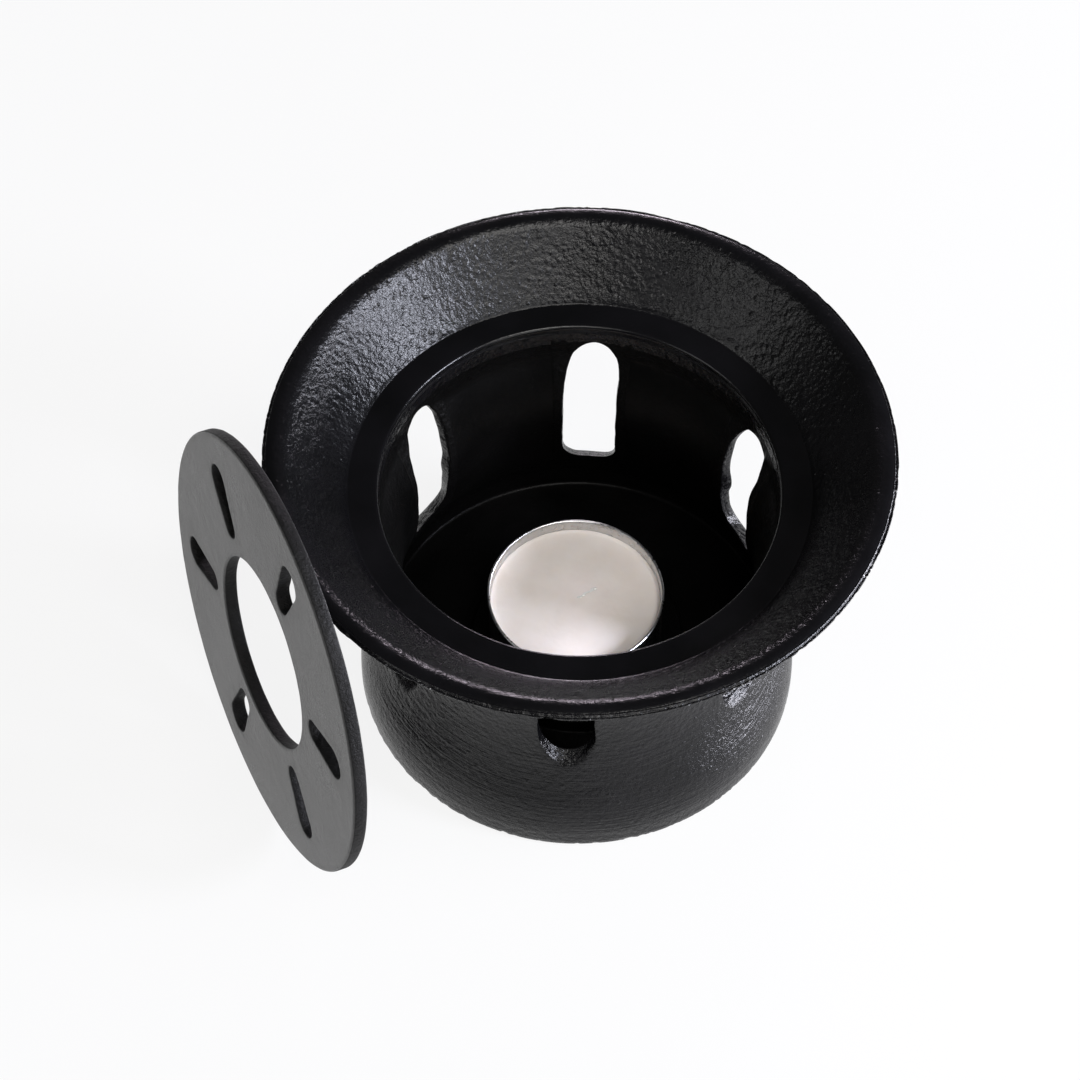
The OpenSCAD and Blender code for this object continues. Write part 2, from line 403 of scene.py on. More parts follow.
under_end = np.array([under_end_r, (under_reach - under_normal[0] * under_end_r) / under_normal[1]])
lip_normal = touch_normal(lip_centre, LIP_EDGE_R, under_end, 0)
lip_start = lip_centre + lip_normal * LIP_EDGE_R
shoulder_span = WAIST_CURVE - SHOULDER_CURVE
shoulder_reach = (SHOULDER_CURVE + under_reach - under_normal @ waist_centre) / shoulder_span
shoulder_angle = angle_of(under_normal) - math.degrees(math.acos(shoulder_reach))
shoulder_centre = waist_centre + polar(shoulder_span, shoulder_angle)
shoulder_start = waist_centre + polar(WAIST_CURVE, shoulder_angle)
shoulder_end = shoulder_centre - SHOULDER_CURVE * under_normal
low_centre = np.array([CHAMBER_R + LOW_CURVE, WAIST_Z])
high_centre = np.array([CHAMBER_R + HIGH_CURVE, WAIST_Z])
throat_z = WAIST_Z + math.sqrt(HIGH_CURVE ** 2 - (high_centre[0] - THROAT_R) ** 2)
fillet_z = FLOOR_Z + FLOOR_FILLET
fillet_span = LOW_CURVE + FLOOR_FILLET
fillet_in = math.sqrt(fillet_span ** 2 - (WAIST_Z - fillet_z) ** 2)
fillet_centre = np.array([low_centre[0] - fillet_in, fillet_z])
fillet_end = low_centre + unit(fillet_centre - low_centre) * LOW_CURVE


def hollow_side(centre, radius, z):
    """Radius of a revolved hollow curve at a height."""
    return centre[0] - np.sqrt(np.maximum(radius ** 2 - (z - centre[1]) ** 2, 0))


def outer_r(z):
    """Radius of the stand's outer face, from the foot to the lip's underside."""
    z = np.asarray(z, dtype=float)
    bulge = bulge_centre[0] + np.sqrt(np.maximum(bulge_r ** 2 - (z - FOOT_BAND) ** 2, 0))
    under = (under_reach - under_normal[1] * z) / under_normal[0]
    return np.select(
        [z < FOOT_BAND, z < bulge_end[1], z < shoulder_start[1], z < shoulder_end[1]],
        [FOOT_R, bulge, hollow_side(waist_centre, WAIST_CURVE, z),
         hollow_side(shoulder_centre, SHOULDER_CURVE, z)],
        under)


def inner_r(z):
    """Radius of the chamber's wall, above the fillet at the floor."""
    z = np.asarray(z, dtype=float)
    low = hollow_side(low_centre, LOW_CURVE, z)
    high = hollow_side(high_centre, HIGH_CURVE, z)
    return np.select([z < WAIST_Z, z < throat_z], [low, high], THROAT_R)


def sill_height(y, rise, side, sill):
    """Height at which the sloping sill's cut meets a face of the wall."""
    fall = math.radians(VENT_FALL)
    start = float(hollow_side(low_centre, LOW_CURVE, sill))
    low, high = -12.0, 14.0
    for _ in range(40):
        s = (low + high) / 2
        x = start + s * math.cos(fall) + rise * math.sin(fall)
        z = sill - s * math.sin(fall) + rise * math.cos(fall)
        if math.hypot(x, y) < float(side(z)):
            low = s
        else:
            high = s
    return z


def vent_half(side, way, shape):
    """Half of a vent's edge on one face of the wall, from its lower middle to its top."""
    half = VENT_W / 2
    top, apex, rise, corner, sill = shape
    flat = half - corner
    points = [(y, 0.0) for y in np.linspace(0, flat, SILL_POINTS)]
    bend = arc((0, 0), corner, -90, 0, CORNER_POINTS)[1:]
    points += [(flat + p[0], corner + p[1]) for p in bend]
    points = [(y, sill_height(y, up, side, sill)) for y, up in points]
    start = top - rise
    points += [(half, z) for z in np.linspace(points[-1][1], start, 12)[1:-1]]
    for degrees in np.linspace(0, 90, ARCH_POINTS):
        out, up = polar(1, degrees)
        points.append((way * apex + (half - way * apex) * out, start + rise * up))
    return [(way * y, z) for y, z in points]


def vent_outline(side, v):
    """A vent's edge on one face of the wall as (sideways, height), and its key points."""
    top, apex, rises, corners, sill = VENT_SHAPES[v]
    first = vent_half(side, 1, (top, apex, rises[0], corners[0], sill))
    second = vent_half(side, -1, (top, apex, rises[1], corners[1], sill))
    outline = np.array(first + second[-2:0:-1])
    last = len(first) - 1
    corner = SILL_POINTS - 1 + (CORNER_POINTS - 1) // 2
    shoulder = last - (ARCH_POINTS - 1) // 2
    count = len(outline)
    return outline, [0, corner, shoulder, last, count - shoulder, count - corner]


def stand_rows():
    """The stand's side view as (radius, height, grain), and where its wall rows lie."""
    rows = []

    def put(points, grain):
        rows.extend((p[0], p[1], grain) for p in points)

    put([(14, HOLLOW_Z), (28, HOLLOW_Z), (38, HOLLOW_Z), (40.9, HOLLOW_Z)], 0.5)
    put([(HOLLOW_R - 0.1, HOLLOW_Z - 0.1), (HOLLOW_R, HOLLOW_Z - 0.4)], 0.5)
    put([(HOLLOW_R, 0.4), (HOLLOW_R + 0.4, 0.0)], 0.5)
    foot_centre = (FOOT_R - FOOT_ROUND, FOOT_ROUND)
    put(arc(foot_centre, FOOT_ROUND, -90, 0, 6), 0.45)
    wall_low = [FOOT_ROUND + 0.6, FOOT_BAND, 3.6, 4.8, 6.1, 7.4, 8.8, 10.2, 11.6, 13.0, 14.3]
    put([(float(outer_r(z)), z) for z in wall_low], 0.8)
    outer_first = len(rows)
    heights = np.linspace(PATCH_LOW_OUT, PATCH_HIGH, VENT_ROWS + 1)
    put([(float(outer_r(z)), z) for z in heights], 0.9)
    heights = np.linspace(PATCH_HIGH, under_end[1] - 0.5, 10)[1:]
    put([(float(outer_r(z)), z) for z in heights], 0.6)
    put([under_end + (0.08, 0.0), under_end + (0.5, 0.18)], 0.5)
    put(line(under_end, lip_start, 5, (False, False))[1:], 0.5)
    # The lip's edge: a nose, a thin groove behind it and the land
    put([(63.70, 76.70), (63.84, 76.84), (63.90, 77.02), (63.89, 77.20), (63.81, 77.34)], 1.5)
    put([(63.68, 77.40), (63.56, 77.36), (63.47, 77.26), (63.38, 77.24), (63.30, 77.34)], 1.3)
    put([(63.22, 77.50), (63.08, 77.60)], 1.0)
    put(line((62.85, 77.68), land_start, 5), 0.25)
    crest = arc(crest_centre, CREST_SOFT, angle_of(land_normal), angle_of(cone_normal), 10)[1:]
    for grain, point in zip(np.linspace(0.25, 1.0, 9), crest):
        put([point], grain)
    put(line(cone_end, seat_corner, 20, (False, False)), 1.0)
    cone_way = unit(cone_end - seat_corner)
    put([seat_corner + cone_way * step for step in (0.12, 0.03)], 0.5)
    put([seat_corner + (-0.03, 0.0)], 0.5)
    put([seat_corner + (-0.15, 0.0)], 0.2)
    put(line((SEAT_R - 1.2, SEAT_Z), (THROAT_R + THROAT_ROUND, SEAT_Z), 6), 0.15)
    round_centre = (THROAT_R + THROAT_ROUND, SEAT_Z - THROAT_ROUND)
    put(arc(round_centre, THROAT_ROUND, 90, 180, 7)[1:], 0.15)
    put([(41.02, 63.9), (41.22, 63.7), (41.22, 63.45), (41.0, 63.2)], 0.3)
    put([(THROAT_R, z) for z in (62.7, 61.9)], 0.9)
    inner_first = len(rows)
    heights = np.linspace(PATCH_HIGH, PATCH_LOW_IN, VENT_ROWS + 1)
    put([(float(inner_r(z)), z) for z in heights if z > throat_z], 1.3)
    put([(float(inner_r(z)), z) for z in heights if z <= throat_z], 0.3)
    heights = np.linspace(PATCH_LOW_IN, fillet_end[1], 6)[1:]
    put([(float(inner_r(z)), z) for z in heights], 0.25)
    # The wall goes on down to a corner that is tighter than the source's
    put([(CHAMBER_LOW_R - 0.2, 11.0), (CHAMBER_LOW_R - 0.05, 9.6), (CHAMBER_LOW_R, 8.4)], 0.2)
    corner = np.array([CHAMBER_LOW_R - FLOOR_CORNER, FLOOR_Z + FLOOR_CORNER])
    put(arc(corner, FLOOR_CORNER, 0, -90, 6), 0.2)
    put(line((corner[0], FLOOR_Z), (PAD_R + 0.5, FLOOR_Z), 9, (False, True)), 0.3)
    put([(PAD_R + 0.08, FLOOR_Z + 0.15), (PAD_R, FLOOR_Z + 0.6)], 0.3)
    put(arc((PAD_R - PAD_ROUND, PAD_Z - PAD_ROUND), PAD_ROUND, 0, 90, 5), 0.3)
    put([(r, PAD_Z) for r in (20.5, 14.0, 7.0)], 0.3)
    return rows, outer_first, inner_first


def ragged(loop, amount, size, seed):
    """The loop with its edge pushed in and out a little."""
    spots = np.column_stack([loop, np.full(len(loop), seed * 9.0)])
    return loop + outward(loop) * (amount * bumps(spots, size, seed))[:, None]


def uneven(loop, places, inside):
    """The loop with its sides pushed in or out at some heights."""
    moved = loop.copy()
    for mouth, side, height, reach, push in places:
        if mouth == "both" or (mouth == "in") == inside:
            here = np.exp(-((loop[:, 1] - height) / reach) ** 2)
            moved[:, 0] += side * push * here * np.clip(side * loop[:, 0] / 2.5, 0, 1)
    return moved


def make_stand(material, inside_shade_material):
    skin = Skin()
    rows, outer_first, inner_first = stand_rows()
    step = COLUMNS // VENT_N
    up_out = list(range(outer_first, outer_first + VENT_ROWS + 1))
    up_in = list(range(inner_first + VENT_ROWS, inner_first - 1, -1))
    skipped = set()
    for v in range(VENT_N):
        skipped |= patch_cells(up_out, v * step, PATCH_HALF, COLUMNS)
        skipped |= patch_cells(up_in, v * step, PATCH_HALF, COLUMNS)
    rings = revolved(skin, rows, VENT_TURN, COLUMNS, skipped)
    skin.cap(rings[0], (0, 0, HOLLOW_Z), 0.5)
    skin.cap(rings[-1], (0, 0, PAD_Z), 0.3)
    sides = ((up_out, outer_r), (up_in, inner_r))
    for v in range(VENT_N):
        turn = VENT_TURN + v * 360 / VENT_N
        borders, outlines, maps = [], [], []
        for rows_up, side in sides:
            steps = patch_steps(rows_up, PATCH_HALF)
            ids = [rings[i][(v * step + j) % COLUMNS] for i, j in steps]
            flat = np.array([(j * 360 / COLUMNS, rows[i][1]) for i, j in steps])
            outline, keys = vent_outline(side, v)
            loop = matched(outline, keys, PATCH_HALF, VENT_ROWS)
            loop = uneven(loop, UNEVEN[v], side is inner_r)
            loop = ragged(loop, VENT_RAGGED, VENT_RAGGED_SIZE, v + 1)
            borders.append((ids, flat))
            outlines.append(loop)
            maps.append((side, turn))
        open_vent(skin, borders, outlines, maps)
    marks = {"turned": turned_part, "worn": worn_part}
    stand = skin.build("stand", "grain", material, cast_shape, marks)
    stand.data.materials.append(inside_shade_material)
    # Painted shade: faces inside the chamber get a darker, less glossy paint that stands in for the
    # shade in the chamber
    for face in stand.data.polygons:
        x, y, z = face.center / MM
        reach = float(inner_r(z)) + CHAMBER_MARGIN
        if FLOOR_Z - 1 < z < CHAMBER_TOP and math.hypot(x, y) < reach:
            face.material_index = 1
    return stand


def open_vent(skin, borders, outlines, maps):
    """One vent. Its loops are in degrees and heights on each face of the wall."""
    flat_borders = []
    places = []
    for (ids, flat), loop, (side, turn) in zip(borders, outlines, maps):
        places.append(across_map(side, turn))
        aside = side(flat[:, 1]) * np.sin(np.radians(flat[:, 0]))
        flat_borders.append((ids, np.column_stack([aside, flat[:, 1]])))
    grains = (0.9, 1.3, 1.5)
    opening(skin, flat_borders, outlines, places, VENT_EDGE, VENT_LOOPS, grains)


def across_map(side, turn):
    """Takes (sideways millimetres, height) on a face of the wall to points in space."""
    def place(flat):
        radius = side(flat[:, 1])
        angle = np.arcsin(flat[:, 0] / radius) + math.radians(turn)
        return np.stack([radius * np.cos(angle), radius * np.sin(angle), flat[:, 1]], axis=1)
    return place


def fade(value, low, high):
    """Smooth step from 0 at low to 1 at high."""
    share = np.clip((value - low) / (high - low), 0, 1)
    return share * share * (3 - 2 * share)


def turned_part(points):
    """1 on the outside of the foot's bulge, where the casting was turned."""
    radius = np.hypot(points[:, 0], points[:, 1])
    outside = radius > (outer_r(points[:, 2]) + inner_r(points[:, 2])) / 2
    return outside * (1 - fade(points[:, 2], 20.0, 38.0))


def worn_part(points):
    """1 on the lip's edge and on the foot's lower edge, where paint is thin."""
    radius = np.hypot(points[:, 0], points[:, 1])
    lip = fade(radius, 63.1, 63.5)
    foot = (1 - fade(points[:, 2], 0.5, 1.4)) * fade(radius, 45.5, 46.5)
    return np.maximum(lip, foot)


def cast_shape(points, normals, grain):
    """Slight unevenness of a casting. It only goes inwards, so the stand keeps its size."""
    wide = bumps(points, 14.0, 3.1)
    fine = bumps(points, 2.2, 7.7)
    depth = CAST_WIDE * (1 + wide) + CAST_FINE * grain * (1 + fine)
    chips = np.clip(bumps(points, 1.3, 5.9) + 0.7 * bumps(points, 9.0, 2.3) - 0.05, 0, 1)
    depth += CHIP_DEPTH * chips * worn_part(points)
    return points - normals * depth[:, None]


# Plate
def slot_outline():
    """A slot's edge in the plate as (along the radius, across), and its key points."""
    in_r = SLOT_IN_W / 2
    out_r = SLOT_OUT_W / 2
    in_end = np.array([SLOT_START + in_r, 0.0])
    out_end = np.array([SLOT_END - out_r, 0.0])
    side = touch_normal(in_end, in_r, out_end, out_r)
    lean = angle_of(side)
    near = arc(in_end, in_r, 180, lean, SLOT_NEAR_POINTS)
    far = arc(out_end, out_r, lean, 0, SLOT_FAR_POINTS)
    half = near + list(np.linspace(near[-1], far[0], 10))[1:-1] + far
    other = [np.array([p[0], -p[1]]) for p in half[-2:0:-1]]
    outline = np.array(half + other)
    top = len(half) - 1
    corner = (SLOT_NEAR_POINTS - 1) // 2
    shoulder = top - (SLOT_FAR_POINTS - 1) // 2
    return outline, [0, corner, shoulder, top, 2 * top - shoulder, 2 * top - corner]


def plate_map(height, turn):
    """Takes (across, along the radius) on a face of the flat plate to points in space."""
    def place(flat):
        angle = math.radians(turn)
        x = flat[:, 1] * math.cos(angle) - flat[:, 0] * math.sin(angle)
        y = flat[:, 1] * math.sin(angle) + flat[:, 0] * math.cos(angle)
        return np.stack([x, y, np.full(len(flat), height)], axis=1)
    return place


def plate_rows():
    """The plate's side view as (radius, height, grain), front face first, all the way round."""
    rows = []

    def put(points, grain):
        rows.extend((p[0], p[1], grain) for p in points)

    inner = HOLE_R + PLATE_ROUND
    outer = PLATE_R - PLATE_ROUND
    top = PLATE_T - PLATE_ROUND
    put([(HOLE_R, 1.2), (HOLE_R, 1.9)], 0.6)
    put(arc((inner, top), PLATE_ROUND, 180, 90, 6), 0.5)
    put([(21.7, PLATE_T)], 0.3)
    front = len(rows)
    put([(r, PLATE_T) for r in np.linspace(PATCH_NEAR, PATCH_FAR, SLOT_ROWS + 1)], 0.3)
    put([(r, PLATE_T) for r in (43.2, 44.3, 45.3)], 0.3)
    put(arc((outer, top), PLATE_ROUND, 90, 0, 6), 0.5)
    put([(PLATE_R, 1.9), (PLATE_R, 1.2)], 0.7)
    put(arc((outer, PLATE_ROUND), PLATE_ROUND, 0, -90, 6), 0.5)
    put([(r, 0) for r in (45.3, 44.3, 43.2)], 0.6)
    back = len(rows)
    put([(r, 0) for r in np.linspace(PATCH_FAR, PATCH_NEAR, SLOT_ROWS + 1)], 0.6)
    put([(21.7, 0)], 0.6)
    put(arc((inner, PLATE_ROUND), PLATE_ROUND, -90, -180, 6), 0.5)
    return rows, front, back


def lean_frame():
    """Where the plate lies as it leans: its back's centre and its three directions."""
    turn = math.radians(LEAN_TURN)
    tilt = math.radians(LEAN_TILT)
    reach = math.cos(tilt) * lip_centre[0] + math.sin(tilt) * lip_centre[1] + LIP_EDGE_R + LEAN_GAP
    z = (PLATE_R - PLATE_ROUND) * math.cos(tilt) + PLATE_ROUND * (1 - math.sin(tilt))
    r = (reach - math.sin(tilt) * z) / math.cos(tilt)
    out = np.array([math.cos(turn), math.sin(turn), 0.0])
    across = np.array([-math.sin(turn), math.cos(turn), 0.0])
    up = np.array([0.0, 0.0, 1.0])
    centre = out * r + across * LEAN_SHIFT + up * z
    front = out * math.cos(tilt) + up * math.sin(tilt)
    down = out * math.sin(tilt) - up * math.cos(tilt)
    return centre, down, across, front


def make_plate(material, wall_shade_material):
    skin = Skin()
    rows, front, back = plate_rows()
    step = COLUMNS // SLOT_N
    up_front = list(range(front, front + SLOT_ROWS + 1))
    up_back = list(range(back + SLOT_ROWS, back - 1, -1))
    skipped = set()
    for s in range(SLOT_N):
        skipped |= patch_cells(up_front, s * step, PATCH_HALF, COLUMNS)
        skipped |= patch_cells(up_back, s * step, PATCH_HALF, COLUMNS)
    rings = revolved(skin, rows, SLOT_TURN, COLUMNS, skipped)
    skin.bridge(rings[-1], rings[0])
    for s in range(SLOT_N):
        turn = SLOT_TURN + s * 360 / SLOT_N
        borders, outlines, maps = [], [], []
        for rows_up, height in ((up_front, PLATE_T), (up_back, 0.0)):
            steps = patch_steps(rows_up, PATCH_HALF)
            ids = [rings[i][(s * step + j) % COLUMNS] for i, j in steps]
            flat = []
            for i, j in steps:
                across = math.radians(j * 360 / COLUMNS)
                flat.append((rows[i][0] * math.sin(across), rows[i][0] * math.cos(across)))
            outline, keys = slot_outline()
            loop = matched(outline, keys, PATCH_HALF, SLOT_ROWS)
            loop = ragged(loop[:, ::-1], SLOT_RAGGED, SLOT_RAGGED_SIZE, s + 11)
            borders.append((ids, np.array(flat)))
            outlines.append(loop)
            maps.append(plate_map(height, turn))
        opening(skin, borders, outlines, maps, SLOT_EDGE, SLOT_LOOPS, (0.3, 0.5, 0.8))
    centre, down, across, front_way = lean_frame()
    skin.points = [centre + down * p[0] + across * p[1] + front_way * p[2] for p in skin.points]
    plate = skin.build("plate", "grain", material, plate_shape)
    plate.data.materials.append(wall_shade_material)
    # Painted shade: steep walls of the slots, the centre hole and the rim get a darker, less glossy
    # paint, meant for the shade inside the slots
    grain = np.array(skin.values)
    for face in plate.data.polygons:
        steep = abs(float(np.dot(face.normal, front_way))) < 0.6
        face.material_index = int(steep and grain[list(face.vertices)].min() >= 0.5)
    return plate


def plate_shape(points, normals, grain):
    fine = bumps(points, 3.0, 5.3)
    return points - normals * (PLATE_FINE * (1 + fine))[:, None]


# Tealight
def make_cup(material):
    skin = Skin()
    wall = CUP_R - CUP_BEAD
    rows = [(6, 0.35), (13, 0.35), (15.5, 0.3), (16.2, 0.0), (wall - CUP_ROUND, 0.0)]
    rows += [tuple(p) for p in arc((wall - CUP_ROUND, CUP_ROUND), CUP_ROUND, -80, 0, 7)]
    rows += [(wall, z) for z in (3, 5, 7, 9, 11, 13, 14.2, 14.9)]
    rows += [(wall + 0.12, 15.15), (wall + 0.3, 15.25), (CUP_R, 15.45), (CUP_R - 0.04, 15.68)]
    rows += [(CUP_R - 0.2, CUP_H), (wall - 0.05, CUP_H - 0.02)]
    rows += [(wall - 0.22, 15.6), (wall - 0.3, 15.3)]
    rows += [(wall - CUP_WALL, z) for z in (14.6, 13.8, 12.8, 11, 8, 5, 3)]
    inner = CUP_ROUND - CUP_WALL
    rows += [tuple(p) for p in arc((wall - CUP_ROUND, CUP_ROUND), inner, 0, -90, 6)]
    rows += [(13, 0.65), (6, 0.65)]
    # The mark is 1 on the bead and inside, and 0 on the outer side, whose foil gets a painted shade
    shade_marked_rows = [(r, z + PAD_Z, float(z > 15.1 or r < wall - 0.1)) for r, z in rows]
    rings = revolved(skin, shade_marked_rows, 0, CUP_COLUMNS)
    skin.cap(rings[0], (0, 0, PAD_Z + 0.35), 0.0)
    skin.cap(rings[-1], (0, 0, PAD_Z + 0.65), 1.0)
    skin.points = [np.asarray(p) + (CANDLE_X, 0, 0) for p in skin.points]
    return skin.build("tealight_cup", "grain", material, cup_shape)


def cup_shape(points, normals, grain):
    """Slight dents in the side of the cup, towards its axis."""
    local = points - (CANDLE_X, 0, 0)
    radius = np.hypot(local[:, 0], local[:, 1])
    dent = CUP_DENT * (1 + bumps(points, 5.0, 2.2)) * np.clip((radius - 17) / 1.5, 0, 1)
    moved = points.copy()
    moved[:, :2] -= local[:, :2] / np.maximum(radius, 1)[:, None] * dent[:, None]
    return moved


def make_wax(material):
    skin = Skin()
    edge = CUP_R - CUP_BEAD - CUP_WALL - WAX_GAP
    level = CUP_H - WAX_DROP
    rows = [(8, 0.75), (14, 0.75), (edge - 1.0, 0.8), (edge - 0.3, 1.1), (edge, 1.8)]
    rows += [(edge, z) for z in (4, 7, 10, 12.2)]
    rows += [(edge, level + 0.02), (edge - 0.06, level + 0.12), (edge - 0.25, level + 0.02)]
    rows += [(edge - 0.5, level - 0.12), (edge - 0.9, level - 0.22), (edge - 1.4, level - WAX_SAG)]
    rows += [(r, level - WAX_SAG) for r in np.linspace(edge - 2.0, 0.4, 34)]
    rings = revolved(skin, [(r, z + PAD_Z, 0.5) for r, z in rows], 0, CUP_COLUMNS)
    skin.cap(rings[0], (0, 0, PAD_Z + 0.75), 0.5)
    skin.cap(rings[-1], (0, 0, PAD_Z + level - WAX_SAG), 0.5)
    skin.points = [np.asarray(p) + (CANDLE_X, 0, 0) for p in skin.points]
    return skin.build("tealight_wax", "grain", material, wax_shape)


def wax_shape(points, normals, grain):
    """The wax's top: uneven, raised along the sunk wick and with a shallow dimple beside it."""
    local = points - (CANDLE_X, 0, PAD_Z)
    radius = np.hypot(local[:, 0], local[:, 1])
    top = (normals[:, 2] > 0.5) & (local[:, 2] > 10)
    lift = 0.05 * bumps(points, 6.0, 4.4) + 0.015 * bumps(points, 1.5, 8.1)
    turn = math.radians(WICK_TURN)
    along = local[:, 0] * math.cos(turn) + local[:, 1] * math.sin(turn)
    aside = local[:, 1] * math.cos(turn) - local[:, 0] * math.sin(turn)
    tip = WICK_BEND + WICK_LIE
    cover = fade(along, -1.8, 0.6) * (1 - fade(along, tip - 1.6, tip + 0.2))
    lift += 0.30 * cover * np.exp(-(aside / 1.4) ** 2)
    lift += 0.12 * np.exp(-((radius - 4.0) / 2.2) ** 2)
    lift -= 0.12 * np.exp(-(np.hypot(local[:, 0] + 4.4, local[:, 1] + 3.2) / 0.9) ** 2)
    moved = points.copy()
    moved[:, 2] += np.where(top, lift, 0)
    return moved


def make_wick(material):
    """Three twisted strands' outline along an upright, a bend and a lying end."""
    top = CUP_H - WAX_DROP + WICK_RISE
    tip = WICK_BEND + WICK_LIE
    path = [np.array([0.0, z]) for z in np.linspace(0.9, top - WICK_BEND, 14)]
    path += arc((WICK_BEND, top - WICK_BEND), WICK_BEND, 172, 90, 10)
    path += [np.array([x, top]) for x in np.linspace(WICK_BEND + 0.3, tip - 0.05, 18)]
    skin = Skin()
    turn = math.radians(WICK_TURN)
    way = np.array([math.cos(turn), math.sin(turn), 0.0])
    side = np.array([-math.sin(turn), math.cos(turn), 0.0])
    up = np.array([0.0, 0.0, 1.0])
    last = None
    travelled = 0.0
    base = np.array([CANDLE_X, 0.0, PAD_Z])
    for k, p in enumerate(path):
        ahead = unit(path[min(k + 1, len(path) - 1)] - path[max(k - 1, 0)])
        if k:
            travelled += np.linalg.norm(p - path[k - 1])
        left = way * -ahead[1] + up * ahead[0]
        angles = np.arange(WICK_SIDES) / WICK_SIDES * 2 * math.pi
        taper = min(1.0, (len(path) - 1 - k) / 2 + 0.72)
        strands = WICK_STRAND * np.cos(3 * angles + travelled * 3.4)
        radius = (WICK_R - WICK_THIN + strands) * taper
        centre = base + way * p[0] + up * (p[1] - WICK_SINK)
        loop = []
        for r, a in zip(radius, angles):
            loop.append(centre + left * r * math.cos(a) + side * r * math.sin(a))
        loop = skin.add(loop, [travelled] * WICK_SIDES)
        if last is None:
            skin.cap(loop, centre, travelled)
        else:
            skin.bridge(last, loop)
        last = loop
    skin.cap(last, centre + way * 0.02, travelled)
    return skin.build("wick", "along", material)


# Materials
class Nodes:
    """Short ways to add and join shader nodes."""

    def __init__(self, name, world=None):
        self.owner = world or bpy.data.materials.new(name)
        self.owner.use_nodes = True
        self.tree = self.owner.node_tree
        self.tree.nodes.clear()

    def add(self, kind, inputs=None, **settings):
        node = self.tree.nodes.new(kind)
        for key, value in settings.items():
            setattr(node, key, value)
        for key, value in (inputs or {}).items():
            if isinstance(value, bpy.types.NodeSocket):
                self.tree.links.new(value, node.inputs[key])
            else:
                node.inputs[key].default_value = value
        return node

    def math(self, operation, a, b):
        return self.add("ShaderNodeMath", {0: a, 1: b}, operation=operation).outputs[0]

    def ramp(self, value, low, high, out_low=0.0, out_high=1.0):
        inputs = {"Value": value, "From Min": low, "From Max": high}
        inputs.update({"To Min": out_low, "To Max": out_high})
        return self.add("ShaderNodeMapRange", inputs).outputs[0]

    def noise(self, place, scale, detail=2.0, rough=0.5):
        inputs = {"Vector": place, "Scale": scale, "Detail": detail, "Roughness": rough}
        return self.add("ShaderNodeTexNoise", inputs).outputs[0]

    def spots(self, place, scale, reach, seed):
        """Round spots, some of the cells empty, each with its own height."""
        shift = {0: place, 1: (seed, -seed, seed * 0.7)}
        shifted = self.add("ShaderNodeVectorMath", shift, operation="ADD").outputs[0]
        inputs = {"Vector": shifted, "Scale": scale, "Randomness": 1.0}
        cells = self.add("ShaderNodeTexVoronoi", inputs)
        tall = self.add("ShaderNodeSeparateColor", {0: cells.outputs["Color"]}).outputs[0]
        dome = self.ramp(cells.outputs["Distance"], 0.0, reach, 1.0, 0.0)
        dome = self.math("MULTIPLY", dome, self.math("SUBTRACT", 2.0, dome))
        return self.math("MULTIPLY", dome, self.ramp(tall, 0.45, 1.0))

    def pebbles(self, place, scale):
        """Round grains side by side, each with its own height."""
        inputs = {"Vector": place, "Scale": scale, "Smoothness": 0.5, "Randomness": 1.0}
        cells = self.add("ShaderNodeTexVoronoi", inputs, feature="SMOOTH_F1")
        tall = self.add("ShaderNodeSeparateColor", {0: cells.outputs["Color"]}).outputs[0]
        dome = self.ramp(cells.outputs["Distance"], 0.0, 0.75, 1.0, 0.0)
        return self.math("MULTIPLY", dome, self.ramp(tall, 0.0, 1.0, 0.35, 1.0))

    def mix(self, share, a, b):
        node = self.add("ShaderNodeMix", data_type="RGBA")
        for socket, value in zip((node.inputs[0], node.inputs[6], node.inputs[7]), (share, a, b)):
            if isinstance(value, bpy.types.NodeSocket):
                self.tree.links.new(value, socket)
            else:
                socket.default_value = value
        return node.outputs[2]


def grey(value, red=0.0, blue=0.0):
    return (value * (1 + red), value, value * (1 + blue), 1.0)


